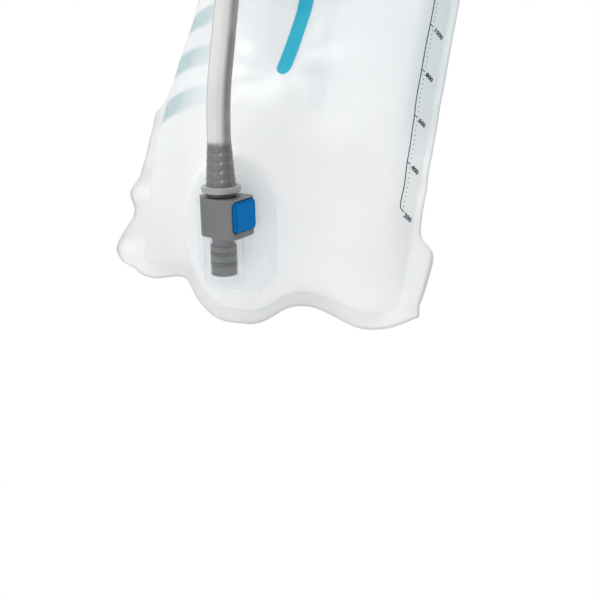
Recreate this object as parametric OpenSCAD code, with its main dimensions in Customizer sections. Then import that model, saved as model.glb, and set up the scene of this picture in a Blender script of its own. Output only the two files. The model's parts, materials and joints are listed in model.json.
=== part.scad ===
// Hydration bladder: a film water bag with a slide closure, a welded port,
// a quick-release hose connector, a drink hose and a twist shut-off bite valve.
// Millimetres, +Z up, the front of the bag faces -Y.
// The origin is the centre of the hanging hole in the slide closure.

/* [Bag film] */
// thickness of one film panel
film_t = 0.6; // [0.3:0.1:1]
// half width of the water space at mid height
bag_half_mid = 67.5; // [55:0.5:85]
// half width of the water space at the bottom seam, on the left
bag_half_low = 79; // [60:0.5:95]
// half width of the water space at the bottom seam, on the right
bag_half_right = 70.5; // [60:0.5:95]
// half width of the water space at the mouth
bag_half_top = 82; // [60:0.5:95]
// height where the water space closes to the flat mouth
mouth_z = 296; // [240:1:340]
// height of the film's upper edge
film_top_z = 318.2; // [250:0.1:360]
// half thickness of the filled bag
belly = 25.5; // [10:0.5:40]
// extra depth of the front belly above the port
belly_front = 9.5; // [0:0.5:20]
// width of the welded seam at the sides
seam_side = 3; // [2:0.5:8]
// width of the welded seam at the bottom
seam_low = 6; // [3:0.5:10]
// number of columns in a film panel
cols = 34; // [20:2:44]
// number of rows in a film panel
rows = 38; // [20:1:48]

/* [Baffle] */
// sideways position of the baffle
baffle_x = 0; // [-20:0.1:20]
// height of the baffle's lower end
baffle_low = 111; // [80:1:140]
// height of the baffle's upper end
baffle_high = 262; // [200:1:280]
// distance of the film from the middle plane along the baffle
valley = 10; // [4:0.1:14]
// half width of the baffle's weld plates
baffle_half = 4; // [1.5:0.1:6]

/* [Port] */
// sideways position of the port's axis
port_x = -5.2; // [-20:0.1:20]
// distance of the port's axis in front of the seam, at the socket's top
port_front = 30; // [20:0.5:45]
// height of the socket's top
port_z = 25; // [15:0.5:50]
// forward tilt of the port's axis
port_tilt = 31; // [0:1:45]
// sideways lean of the port's axis
port_lean = 4; // [-15:1:15]
// distance from the port's axis to the film
standoff = 10.6; // [9:0.1:14]
// width of the welded flange
flange_w = 41; // [26:1:44]
// height of the welded flange
flange_h = 51; // [40:1:64]
// outside radius of the socket
socket_r = 8.6; // [7:0.1:10]
// radius of the socket's bore
bore_r = 5.85; // [4:0.05:7]
// outside radius of the socket's neck
neck_r = 6.45; // [5:0.05:8]
// height of the socket's neck
neck_h = 9; // [6:0.5:12]

/* [Connector] */
// turn of the connector about the port's axis
conn_yaw = -4; // [-30:1:30]
// height of the connector body
body_h = 16.7; // [14:0.1:22]
// travel of the release button
press = 0.8; // [0.4:0.1:0.8]

/* [Hose] */
// outside radius of the hose
hose_r = 5; // [4:0.1:6]
// inside radius of the hose
hose_bore = 3.2; // [2:0.1:4]
// radius of the bend above the connector
bend_low = 75; // [40:5:150]
// radius of the bend behind the shoulder
bend_mid = 170; // [80:10:300]
// radius of the arch at the top
arch_r = 72; // [40:1:120]
// straight length below the middle bend
rise_low = 34; // [10:1:100]
// straight length above the middle bend
rise_high = 190; // [60:5:300]
// straight length after the arch
drop = 165; // [40:5:300]

/* [Hidden] */
$fn = 64;
hang_z = 333;
nc = cols;
nr = rows;
// how much the outline rises towards the outside of a lower corner
corner_lift = 4;
// the baffle's groove gets shallower below this height, by so much per millimetre
slant_z = 140;
slant = 0.2;
// the weld plates' thickness; their outer faces sink a little into the film
plate_t = 1.15;
sunk = film_t - 0.05;
// corner radius of the welded flange
flange_round = 13;
// sides of the connector body about its axis, and the radius of its round corners
conn_left = -8.6;
conn_right = 11.5;
conn_front = -7.8;
conn_back = 8;
conn_round = 5.9;
// inner face of the release button
button_x = 10.6;
// underside of the latch plate
latch_z = neck_h + 0.6;
// radius of the stem where it turns in the housing
journal_r = 4.8;
// underside of the hose collar, and the two ends of the barb
collar_z = 18.8;
barb_z0 = 19.6;
barb_z1 = 39.6;

// ---- shared shape functions -------------------------------------------------
// quarter circle rise from 0 to 1
function rise(a) = let (b = max(0, min(1, a))) sqrt(1 - (1 - b) * (1 - b));
function bump(a) = exp(-a * a);
function soft(a) = 1 / (1 + exp(-max(-30, min(30, a))));
function unit(v) = v / norm(v);

// half width of the water space on one side of the bag
function half_w(z, side) =
    let (c = max(0, min(z, mouth_z)))
    bag_half_mid
    + (side < 0 ? (bag_half_low - bag_half_mid) * exp(-c / 40)
                : (bag_half_right - bag_half_mid) * exp(-c / 25))
    + (bag_half_top - bag_half_mid) * exp((c - mouth_z) / 45)
    + (side < 0 ? 7 * bump((c - 85) / 45) : 0);

// extra width of the puckered seam at the lower corners
function ear(z, side) =
    side < 0 ? 17.5 * bump((z - 27.5) / 16.5) + 10.5 * bump((z - 54.5) / 8)
               + 4.3 * soft((98 - z) / 1.5) * soft((z - 61) / 3)
             : soft((34.8 - z) / 1.5) * (3 + 3.8 * sin(90 * max(0, min(1, (z - 7) / 26))));

// height of the bottom edge, which hangs in three lobes
function low_z(x) =
    5 - 12.5 * bump(x < -4 ? pow((x + 4) / 28, 2) : (x + 4) / 19)
    - 9 * bump((x - 62) / (x < 62 ? 23 : 30))
    + 7 * soft((-x - 39) / 2.2) - 2 * bump((x + 63) / 10)
    + 3 * pow(max(0, (x - 72) / 12), 2) + 5 * pow(max(0, (-x - 70) / 14), 2);

// the lower corners curl towards the back
function curl(x, z) =
    (8 * soft((-x - 74) / 4) + 4 * soft((x - 74) / 3)) * bump((z - 22) / 32);

// plane of the port's flange, as a distance in front of the middle plane
flange_y = port_front - standoff * cos(port_tilt);
flange_z = port_z + standoff * sin(port_tilt);
function port_plane(z) = flange_y + (z - flange_z) * tan(port_tilt);
function port_share(x, z) =
    soft((1.14 - norm([(x - port_x) / 24.5, (z - flange_z + 1) / 26])) / 0.07);

// distance of the film from the middle plane at the bottom of the baffle's groove
function groove(z) = valley + slant * max(0, slant_z - z);

// distance of the film's outside from the middle plane
function depth(x, z, zi, front) =
    let (u = min(1, abs(x) / half_w(z, x)),
         up = z - zi,
         body = belly * rise(up / 70) * sin(90 * max(0, min(1, (mouth_z - z) / 110)))
                * sqrt(max(0, 1 - pow(u, 2.42))),
         low = front ? belly_front * rise(up / 62) * soft((baffle_low + 2 - z) / 6)
                       * bump(x / 34) * (u < 1 ? 1 : 0) : 0,
         k = soft((z - baffle_low + 17) / 5) * bump((x - baffle_x) / 13),
         v = min(groove(z), 0.9 * belly * sin(90 * max(0, min(1, (mouth_z - z) / 110)))),
         y = (body + low) * (1 - k) + v * k,
         p = front && up > 0 ? port_share(x, z) : 0)
    max(film_t, y * (1 - p) + port_plane(z) * p);

// film thickness measured along Y where the film slopes
function along_y(x, z, zi, front) =
    let (e = 0.4,
         fx = (depth(x + e, z, zi, front) - depth(x - e, z, zi, front)) / (2 * e),
         fz = (depth(x, z + e, zi, front) - depth(x, z - e, zi, front)) / (2 * e))
    film_t * min(2.4, sqrt(1 + fx * fx + fz * fz));

// grid position across the panel: -1 to 1 over the water space
function col_u(i) =
    let (a = max(0, min(nc - 2, i - 1)) / (nc - 2) * 2 - 1) 0.5 * sin(90 * a) + 0.5 * a;
function side_of(i) = i < nc / 2 ? -1 : 1;

function grid_xz(i, j) =
    let (s = side_of(i), u = col_u(i), zo = low_z(u * 80), zi = zo + seam_low,
         q = max(0, min(1, (j - 1) / (nr - 2))),
         z = j == 0 ? zo : j == nr ? film_top_z : zi + (mouth_z - zi) * pow(q, 1.35),
         w = half_w(z, s),
         edge = i == 0 || i == nc,
         x = edge ? s * (w + seam_side + ear(z, s)) : u * w,
         lift = edge ? corner_lift * max(0, 1 - (z - zo) / 12) : 0)
    [x, z + lift, zi, edge || j == 0 || j == nr ? 1 : 0];

function film_point(i, j, front, inner) =
    let (g = grid_xz(i, j), m = front ? 1 : -1,
         f = g[3] == 1 ? film_t : depth(g[0], g[1], g[2], front),
         t = g[3] == 1 ? film_t : along_y(g[0], g[1], g[2], front),
         y = inner ? max(0, f - t) : f)
    [g[0], -y + m * curl(g[0], g[1]), g[1]];

// one closed film panel; the back panel is the mirror image of its own shape
module film_panel(front) {
    n = (nc + 1) * (nr + 1);
    pts = concat(
        [for (j = [0:nr]) for (i = [0:nc]) film_point(i, j, front, false)],
        [for (j = [0:nr]) for (i = [0:nc]) film_point(i, j, front, true)]);
    skin = [for (j = [0:nr - 1]) for (i = [0:nc - 1]) for (k = [0:1])
        let (a = j * (nc + 1) + i, b = a + 1, c = a + nc + 1, d = c + 1)
        k == 0 ? [a, c, b] : [b, c, d]];
    back = [for (t = skin) [t[0] + n, t[2] + n, t[1] + n]];
    low = [for (i = [0:nc - 1]) for (k = [0:1])
        k == 0 ? [i, i + 1, i + n] : [i + 1, i + 1 + n, i + n]];
    top = [for (i = [0:nc - 1]) for (k = [0:1])
        let (a = nr * (nc + 1) + i)
        k == 0 ? [a, a + n, a + 1] : [a + 1, a + n, a + 1 + n]];
    left = [for (j = [0:nr - 1]) for (k = [0:1])
        let (a = j * (nc + 1), c = a + nc + 1)
        k == 0 ? [a, a + n, c] : [c, a + n, c + n]];
    right = [for (j = [0:nr - 1]) for (k = [0:1])
        let (a = j * (nc + 1) + nc, c = a + nc + 1)
        k == 0 ? [a, c, a + n] : [c, c + n, a + n]];
    polyhedron(pts, concat(skin, back, low, top, left, right), convexity = 6);
}

// ---- local frames ------------------------------------------------------------
module in_row() { translate([0, 0, -hang_z]) children(); }
// port frame: Z along the connector's axis, +Y towards the film
module at_port() {
    in_row() translate([port_x, -port_front, port_z])
        rotate([port_tilt, 0, 0]) rotate([0, port_lean, 0]) children();
}
module at_conn() { at_port() rotate([0, 0, conn_yaw]) children(); }

// rounded rectangle from circles and squares
module round_rect(x0, x1, y0, y1, r) {
    translate([x0 + r, y0]) square([x1 - x0 - 2 * r, y1 - y0]);
    translate([x0, y0 + r]) square([x1 - x0, y1 - y0 - 2 * r]);
    for (x = [x0 + r, x1 - r]) for (y = [y0 + r, y1 - r]) translate([x, y]) circle(r);
}
module ring(z0, z1, ro, ri) {
    translate([0, 0, z0]) difference() {
        cylinder(r = ro, h = z1 - z0);
        translate([0, 0, -1]) cylinder(r = ri, h = z1 - z0 + 2);
    }
}
module torus(z, r, t) { translate([0, 0, z]) rotate_extrude() translate([r, 0]) circle(t, $fn = 24); }
// lays a flat outline in the YZ plane and extrudes it along X
module along_x(x0, x1) {
    translate([x0, 0, 0]) rotate([90, 0, 90]) linear_extrude(height = x1 - x0) children();
}

// ---- bag ---------------------------------------------------------------------
module front_panel() color([0.93, 0.94, 0.95, 0.5]) difference() {
    in_row() film_panel(true);
    at_port() translate([0, 0, -18.6]) rotate([-90, 0, 0]) cylinder(r = 2.4, h = 16);
}
module back_panel() color([0.9, 0.92, 0.94, 0.5])
    in_row() mirror([0, 1, 0]) film_panel(false);

// plate welded to the film's groove, rounded at its lower end, drawn on the +Y side
strip_rows = [baffle_low - baffle_half, slant_z, baffle_high];
module weld_plate() intersection() {
    along_x(-baffle_half, baffle_half) polygon(concat(
        [for (z = strip_rows) [groove(z) - sunk, z]],
        [for (k = [2:-1:0]) [groove(strip_rows[k]) - sunk - plate_t, strip_rows[k]]]));
    translate([0, 40, 0]) rotate([90, 0, 0]) linear_extrude(height = 40) {
        translate([0, baffle_low]) circle(baffle_half);
        translate([-baffle_half, baffle_low])
            square([2 * baffle_half, baffle_high - baffle_low]);
    }
}
// upright web between a start distance and the weld plate
module web(start, half) along_x(-half, half)
    polygon([[start, baffle_high], [start, baffle_low],
             [groove(baffle_low) - sunk - 0.5, baffle_low],
             [groove(slant_z) - sunk - 0.5, slant_z],
             [groove(baffle_high) - sunk - 0.5, baffle_high]]);
// bulb in front, and behind it the channel that the bulb snaps into
module baffle_strip_front() color([0.1, 0.62, 0.72]) in_row() translate([baffle_x, 0, 0]) {
    mirror([0, 1, 0]) weld_plate();
    mirror([0, 1, 0]) web(-0.6, 0.5);
    translate([0, 0.9, baffle_low]) cylinder(r = 0.9, h = baffle_high - baffle_low);
}
module baffle_strip_back() color([0.15, 0.66, 0.74]) in_row() translate([baffle_x, 0, 0]) {
    weld_plate();
    difference() {
        union() {
            web(0.9, 1);
            translate([0, 0.9, baffle_low]) cylinder(r = 1.75, h = baffle_high - baffle_low);
        }
        translate([0, 0.9, baffle_low - 1]) cylinder(r = 1, h = baffle_high - baffle_low + 2);
        translate([-0.65, -2, baffle_low - 1]) cube([1.3, 2.6, baffle_high - baffle_low + 2]);
    }
}

// oval welded plate with the socket that the connector plugs into
module port_flange() color([0.85, 0.88, 0.9, 0.6]) at_port() difference() {
    union() {
        translate([0, standoff + 0.05, -1.5]) rotate([90, 0, 0])
            linear_extrude(height = 1.6)
                round_rect(-flange_w / 2, flange_w / 2, -flange_h / 2, flange_h / 2,
                           flange_round);
        translate([0, standoff - 1.5, -1.5]) rotate([90, 0, 0])
            linear_extrude(height = 0.6) difference() {
                round_rect(-flange_w / 2 + 1, flange_w / 2 - 1, -flange_h / 2 + 1,
                           flange_h / 2 - 1, flange_round - 1);
                round_rect(-flange_w / 2 + 2.2, flange_w / 2 - 2.2, -flange_h / 2 + 2.2,
                           flange_h / 2 - 2.2, flange_round - 2.2);
            }
        translate([0, 0, -23.5]) rotate_extrude() {
            square([socket_r - 3.5, 23.5]);
            translate([0, 3.5]) square([socket_r, 20]);
            translate([socket_r - 3.5, 3.5]) circle(3.5);
        }
        translate([-4.6, 0, -20]) cube([9.2, standoff - 1, 20]);
        translate([0, 0, -1]) cylinder(r = neck_r, h = neck_h + 1);
    }
    translate([0, 0, -21.5]) cylinder(r = bore_r, h = 40);
    translate([0, 0, 5]) ring(0, 1.5, neck_r + 1, neck_r - 0.25);
    translate([0, 0, -18.6]) rotate([-90, 0, 0]) cylinder(r = 2.4, h = 16);
}

module mouth_bead(side) {
    in_row() along_x(-83, 83) {
        translate([side > 0 ? film_t - 0.05 : -2.8, 313.6])
            square([2.8 - film_t + 0.05, 3.8]);
        translate([side * 1.7, 313.9]) circle(0.9);
        translate([side * 1.7, 317.1]) circle(0.9);
    }
}
module mouth_bead_front() color([0.8, 0.84, 0.86]) mouth_bead(-1);
module mouth_bead_back() color([0.78, 0.82, 0.84]) mouth_bead(1);

// slide closure: a C channel that slides over both beads, closed at +X
module slider_bar() color([0.05, 0.42, 0.7]) in_row() difference() {
    union() {
        along_x(-89, 90) round_rect(-5.6, 5.6, 309, 324, 2);
        translate([0, 1.5, 0]) rotate([90, 0, 0]) linear_extrude(height = 3) {
            translate([-14, 323]) square([28, 10]);
            translate([0, 333]) circle(14);
        }
        for (k = [0:4]) translate([-84 + 3 * k, 0, 0])
            along_x(0, 1.2) round_rect(-6.2, 6.2, 310.5, 322.5, 2);
        for (k = [0:4]) translate([71 + 3 * k, 0, 0])
            along_x(0, 1.2) round_rect(-6.2, 6.2, 310.5, 322.5, 2);
    }
    along_x(-90, 86.5) {
        translate([-3.15, 312.7]) square([6.3, 6]);
        translate([-0.95, 308]) square([1.9, 6]);
    }
    translate([0, 10, hang_z]) rotate([90, 0, 0]) cylinder(r = 5, h = 20);
}

// ---- connector ---------------------------------------------------------------
// outline of the housing, drawn in by a wall of d: round towards -X, square at the button
module conn_plan(d, x1) {
    round_rect(conn_left + d, 10, conn_front + d, conn_back - d, conn_round - d);
    round_rect(0, x1, conn_front + d, conn_back - d, 1.8 - min(d, 1));
}
module connector_housing() color([0.52, 0.54, 0.56]) at_conn() difference() {
    union() {
        intersection() {
            translate([0, 0, 0.3]) linear_extrude(height = body_h) conn_plan(0, conn_right);
            translate([1.6, 0.1, 0]) rotate_extrude($fn = 96) {
                square([9.6, 20]);
                translate([0, 4]) square([13.6, 20]);
                translate([9.6, 4]) circle(4, $fn = 48);
            }
        }
        // finger rest opposite the button
        translate([0, 0, body_h - 1.5]) linear_extrude(height = 1.6)
            round_rect(conn_left - 1.4, conn_left + 3, -3.2, 3.2, 1.3);
    }
    translate([0, 0, -1]) cylinder(r = neck_r + 0.08, h = 14);
    cylinder(r = journal_r + 0.08, h = 30);
    // slot for the latch plate, and room for its tooth
    translate([0, 0, latch_z - 0.2]) linear_extrude(height = 1.9) conn_plan(0.7, conn_right);
    translate([conn_left + 0.6, -2.3, 4.4]) cube([4, 4.6, 6]);
    // recess for the button, and a seat for the spring
    translate([button_x - press - 0.1, 0, 0]) rotate([90, 0, 90]) linear_extrude(height = 6)
        round_rect(-7.25, 7.65, 2.8, 16.4, 2.1);
    translate([7.2, 0, 14]) rotate([0, 90, 0]) cylinder(r = 1.5, h = 4);
}

module release_button() color([0.04, 0.45, 0.72]) at_conn() {
    translate([button_x, 0, 0]) rotate([90, 0, 90]) linear_extrude(height = 1.6)
        round_rect(-6.8, 7.2, 3.2, 16, 1.8);
    translate([button_x + 1.5, 0, 0]) rotate([90, 0, 90]) linear_extrude(height = 0.6)
        round_rect(-6.2, 6.6, 3.8, 15.4, 1.5);
}

// fork around the stem; its tooth reaches down beside the socket's neck
module latch_plate() color([0.7, 0.72, 0.74]) at_conn() difference() {
    union() {
        translate([0, 0, latch_z]) linear_extrude(height = 1.5) {
            round_rect(-7.1, 9, -6.75, 6.85, 5);
            round_rect(0, button_x + 0.1, -6.75, 6.85, 0.5);
        }
        translate([-7.1, -2, 5.1]) cube([0.5, 4, 5]);
    }
    translate([0, 0, neck_h]) cylinder(r = 5.85, h = 4);
    translate([0, -5.85, neck_h]) cube([14, 11.7, 4]);
}

// coil between the housing and the button
module latch_spring() color([0.75, 0.76, 0.78]) at_conn()
    translate([7.45, 0, 14]) rotate([0, 90, 0])
        for (k = [0:3]) torus(0.95 * k, 1.1, 0.2);

// ---- hose side -----------------------------------------------------------------
function barb_r(z) = 4.55 - 1.45 * (z - barb_z0) / (barb_z1 - barb_z0);

module plug_stem() color([0.42, 0.44, 0.46]) at_port() difference() {
    union() {
        ring(-17.3, -12.9, 5.6, 1);
        ring(-17.3, 12, 4.3, 1);
        ring(-11.1, -8.4, 5.6, 1);
        ring(-6.6, -4.4, 5.6, 1);
        ring(-4.5, -0.6, 4.9, 1);
        ring(-0.8, 12, 5.7, 1);
        ring(11.5, 12.8, 6.4, 1);
        ring(12, 19, journal_r, 1);
        ring(17.2, barb_z0, 6.4, 1);
        translate([0, 0, barb_z0 - 0.5])
            cylinder(r1 = barb_r(barb_z0), r2 = barb_r(barb_z1), h = barb_z1 - barb_z0 + 0.5);
        for (k = [0:4]) let (z = barb_z0 + 1.5 + 3.7 * k)
            translate([0, 0, z])
                cylinder(r1 = barb_r(z) + 0.3, r2 = barb_r(z + 2.4) - 0.05, h = 2.4);
    }
    translate([0, 0, -20]) cylinder(r = 2.2, h = 70);
}
module o_ring_upper() color([0.12, 0.12, 0.13]) at_port() torus(-7.5, 4.9, 0.9);
module o_ring_lower() color([0.12, 0.12, 0.13]) at_port() torus(-12, 4.9, 0.9);

module hose_collar() color([0.6, 0.62, 0.64]) at_port() rotate_extrude() {
    translate([6.42, collar_z]) square([0.9, 2.8]);
    translate([6.42, collar_z + 0.3]) square([1.9, 2.2]);
    translate([7.1, collar_z + 1.4]) circle(1.38, $fn = 32);
}

// hose path in row coordinates, as joined arcs and straights
port_o = [port_x, -port_front, port_z - hang_z];
dir0 = [sin(port_lean), -cos(port_lean) * sin(port_tilt), cos(port_lean) * cos(port_tilt)];
dir1 = unit([-0.01, -sin(11), cos(11)]);
dir2 = [0, sin(8), cos(8)];
dir_left = [-1, 0, 0];
dir3 = -dir2;
function turn_axis(a, b) = unit(cross(a, b));
function turn_deg(a, b) = acos(max(-1, min(1, a * b)));
function arc_mid(p, a, n, r) = p + cross(n, a) * r;
function arc_end(p, a, n, r, t) =
    arc_mid(p, a, n, r) + (-cross(n, a) * cos(t) + a * sin(t)) * r;
n1 = turn_axis(dir0, dir1);
n2 = turn_axis(dir1, dir2);
n3 = turn_axis(dir2, dir_left);
t1 = turn_deg(dir0, dir1);
t2 = turn_deg(dir1, dir2);
p0 = port_o + dir0 * (barb_z0 + 23);
p1 = arc_end(p0, dir0, n1, bend_low, t1);
p2 = p1 + dir1 * rise_low;
p3 = arc_end(p2, dir1, n2, bend_mid, t2);
p4 = p3 + dir2 * rise_high;
p5 = arc_end(p4, dir2, n3, arch_r, 180);
p6 = p5 + dir3 * drop;

// places children with Z along d and X along e
module placed(p, e, d) {
    f = cross(d, e);
    multmatrix([[e[0], f[0], d[0], p[0]], [e[1], f[1], d[1], p[1]],
                [e[2], f[2], d[2], p[2]], [0, 0, 0, 1]]) children();
}
// hose cross sections: centre, direction, outside and inside radius
function hose_ring(p, d, ro, ri) = [p, d, ro, ri];
function arc_rings(p, a, n, r, t, count) =
    [for (k = [0:count]) let (w = t * k / count)
        hose_ring(arc_end(p, a, n, r, w), a * cos(w) + cross(n, a) * sin(w), hose_r, hose_bore)];
hose_rings = concat(
    [hose_ring(port_o + dir0 * barb_z0, dir0, 6.47, 4.76),
     hose_ring(port_o + dir0 * (barb_z0 + 21), dir0, hose_r, hose_bore)],
    arc_rings(p0, dir0, n1, bend_low, t1, 5),
    arc_rings(p2, dir1, n2, bend_mid, t2, 5),
    arc_rings(p4, dir2, n3, arch_r, 180, 36),
    [hose_ring(p6, dir3, hose_r, hose_bore)]);
hose_sides = 24;

module drink_tube() color([0.8, 0.8, 0.78, 0.6]) {
    m = len(hose_rings);
    h = hose_sides;
    pts = [for (side = [0:1]) for (g = hose_rings)
        let (d = g[1], e = unit(cross(d, [0, 1, 0])), f = cross(d, e), r = g[2 + side])
        for (k = [0:h - 1]) g[0] + (e * cos(360 * k / h) + f * sin(360 * k / h)) * r];
    outer = [for (j = [0:m - 2]) for (k = [0:h - 1]) for (q = [0:1])
        let (a = j * h + k, b = j * h + (k + 1) % h)
        q == 0 ? [a, a + h, b] : [b, a + h, b + h]];
    inner = [for (t = outer) [t[0] + m * h, t[2] + m * h, t[1] + m * h]];
    start = [for (k = [0:h - 1]) for (q = [0:1])
        let (a = k, b = (k + 1) % h)
        q == 0 ? [a, b, a + m * h] : [b, b + m * h, a + m * h]];
    finish = [for (k = [0:h - 1]) for (q = [0:1])
        let (a = (m - 1) * h + k, b = (m - 1) * h + (k + 1) % h)
        q == 0 ? [a, a + m * h, b] : [b, a + m * h, b + m * h]];
    polyhedron(pts, concat(outer, inner, start, finish), convexity = 8);
}

// ---- mouth end: Z runs along the flow, out of the hose ------------------------
module at_mouth() { placed(p6, [1, 0, 0], dir3) children(); }

module valve_stem() color([0.5, 0.52, 0.54]) at_mouth() difference() {
    union() {
        ring(-16, 1, 2.9, 1);
        for (k = [0:3]) translate([0, 0, -15.6 + 3.8 * k])
            cylinder(r1 = 2.9, r2 = 3.26, h = 2.4);
        ring(0, 2.4, 7.2, 1);
        ring(2, 10, 4.97, 1);
        ring(9, 14, 4.1, 1);
        ring(11.8, 20, 4.97, 1);
    }
    translate([0, 0, -20]) cylinder(r = 2, h = 50);
}
module valve_o_ring() color([0.12, 0.12, 0.13]) at_mouth() torus(10.9, 4.12, 0.87);

// turning sleeve with grip ribs, a wing and a nose for the bite valve
module shutoff_sleeve() color([0.55, 0.57, 0.6]) at_mouth() difference() {
    union() {
        translate([0, 0, 2.6]) cylinder(r = 7.6, h = 19.4);
        for (k = [0:11]) rotate([0, 0, 30 * k]) translate([7.4, 0, 4]) cylinder(r = 0.9, h = 15);
        translate([-1.5, 7, 6]) cube([3, 6, 11]);
        translate([0, 0, 21]) cylinder(r = 4.6, h = 11);
        translate([0, 0, 28.5]) cylinder(r1 = 5.2, r2 = 4.4, h = 3.5);
    }
    translate([0, 0, 2]) cylinder(r = 5.05, h = 18.2);
    translate([0, 0, 0]) cylinder(r = 2, h = 60);
}

// soft mouthpiece with a slit at its tip
module bite_valve() color([0.05, 0.5, 0.76]) at_mouth() difference() {
    rotate_extrude() {
        translate([4.55, 22.1]) square([3.6, 11]);
        translate([0, 32.05]) square([6.4, 14]);
        translate([6.35, 24]) circle(1.9, $fn = 32);
        translate([4.4, 45]) circle(2.6, $fn = 32);
        translate([0, 44]) square([4.4, 3.6]);
    }
    translate([0, 0, 30]) cylinder(r = 3.6, h = 14);
    translate([-4.6, -0.2, 40]) cube([9.2, 0.4, 12]);
}

front_panel();
back_panel();
baffle_strip_front();
baffle_strip_back();
port_flange();
mouth_bead_front();
mouth_bead_back();
slider_bar();
connector_housing();
release_button();
latch_plate();
latch_spring();
plug_stem();
o_ring_upper();
o_ring_lower();
hose_collar();
drink_tube();
valve_stem();
valve_o_ring();
shutoff_sleeve();
bite_valve();
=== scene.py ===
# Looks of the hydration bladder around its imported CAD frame.
# Shapes are worked out in millimetres in bag coordinates: X to the right, -Y to the front, Z up
# from the bottom seam. mesh() turns them into metres in the row frame, whose origin is the
# centre of the hanging hole.
import json
import math

import bpy
import numpy as np
from mathutils import Matrix, Vector

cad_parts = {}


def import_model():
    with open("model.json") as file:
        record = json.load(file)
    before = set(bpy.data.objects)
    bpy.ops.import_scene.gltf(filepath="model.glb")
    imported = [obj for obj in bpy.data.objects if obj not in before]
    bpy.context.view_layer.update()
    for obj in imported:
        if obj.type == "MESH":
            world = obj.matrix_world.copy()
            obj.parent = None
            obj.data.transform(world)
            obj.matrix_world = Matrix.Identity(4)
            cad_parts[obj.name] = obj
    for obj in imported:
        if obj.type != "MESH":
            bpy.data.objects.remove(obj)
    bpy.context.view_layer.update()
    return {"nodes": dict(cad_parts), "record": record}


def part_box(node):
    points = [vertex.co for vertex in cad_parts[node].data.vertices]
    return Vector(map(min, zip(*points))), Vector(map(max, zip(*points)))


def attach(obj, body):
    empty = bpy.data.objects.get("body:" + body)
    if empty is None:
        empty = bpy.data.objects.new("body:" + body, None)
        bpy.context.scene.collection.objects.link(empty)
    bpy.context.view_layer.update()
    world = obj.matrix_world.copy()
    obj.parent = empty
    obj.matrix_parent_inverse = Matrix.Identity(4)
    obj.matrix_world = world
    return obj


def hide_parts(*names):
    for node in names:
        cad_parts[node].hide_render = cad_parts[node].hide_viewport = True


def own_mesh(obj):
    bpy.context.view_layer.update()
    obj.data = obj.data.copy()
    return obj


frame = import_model()

MM = 0.001

# ---- driving sizes, as in the CAD but for the shown film's thickness and the baffle's end ------
HANG_Z = 333.0                              # the hanging hole
FILM = 0.6                                  # from the seam's middle plane to the film's outside
SHEET = 0.42                                # thickness of the shown film
HALF_MID, HALF_TOP = 67.5, 82.0             # half widths of the water space: middle, mouth,
HALF_LOW_LEFT, HALF_LOW_RIGHT = 79.0, 70.5  # and bottom seam
MOUTH_Z, FILM_TOP = 296.0, 318.2            # where the water space and the film end
BELLY, BELLY_FRONT = 25.5, 9.5              # depth of each side, and extra above the port
SEAM_SIDE, SEAM_LOW = 3.0, 6.0              # widths of the welded seams
CORNER_LIFT = 4.0                           # how much the lower corners' edge rises outwards
BAFFLE_X, BAFFLE_LOW, BAFFLE_HIGH = 0.0, 109.0, 262.0
VALLEY = 10.0                               # film to middle plane along the baffle
SLANT_Z, SLANT = 140.0, 0.2                 # below this height that grows by this much per mm
PORT = np.array([-5.2, -30.0, 25.0])        # the port's axis at the socket's top
TILT, LEAN, YAW = math.radians(31), math.radians(4), math.radians(-4)
STANDOFF = 10.6                             # from the port's axis to the film
FLANGE_Y = -PORT[1] - STANDOFF * math.cos(TILT)
FLANGE_Z = PORT[2] + STANDOFF * math.sin(TILT)
HOSE_R, HOSE_BORE = 5.0, 3.2
BEND_LOW, BEND_MID, ARCH_R = 75.0, 170.0, 72.0      # radii of the hose's bends
RISE_LOW, RISE_HIGH, DROP = 34.0, 190.0, 165.0      # its straight lengths
BARB_START, BARB_END = 19.6, 40.6                   # along the port's axis
EDGE_HALF = 80.0                            # half width that low_z() is written for


# ---- film shape ------------------------------------------------------------------------------
# Unnamed numbers here are the heights, widths and spreads, in millimetres, of single bumps and
# folds.
def rise(a):
    """A quarter circle from 0 to 1."""
    b = np.clip(a, 0, 1)
    return np.sqrt(1 - (1 - b) ** 2)


def bump(a):
    """A bell of height 1 around 0."""
    return np.exp(-np.square(a))


def soft(a):
    """A soft step from 0 to 1 at 0."""
    return 1 / (1 + np.exp(-np.clip(a, -30, 30)))


def half_w(z, x):
    """Half width of the water space at height z, on x's side of the bag."""
    c = np.clip(z, 0, MOUTH_Z)
    low_left = (HALF_LOW_LEFT - HALF_MID) * np.exp(-c / 40)
    low_right = (HALF_LOW_RIGHT - HALF_MID) * np.exp(-c / 25)
    high = (HALF_TOP - HALF_MID) * np.exp((c - MOUTH_Z) / 45)
    hip = np.where(x < 0, 7 * bump((c - 85) / 45), 0)
    return HALF_MID + np.where(x < 0, low_left, low_right) + high + hip


def ear(z, x):
    """Extra width of the puckered seam at the lower corners."""
    corner = 17.5 * bump((z - 27.5) / 16.5)
    pucker = 10.5 * bump((z - 54.5) / 8)
    ledge = 4.3 * soft((98 - z) / 1.5) * soft((z - 61) / 3)
    widening = 3 + 3.8 * np.sin(np.pi / 2 * np.clip((z - 7) / 26, 0, 1))
    return np.where(x < 0, corner + pucker + ledge, soft((34.8 - z) / 1.5) * widening)


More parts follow.
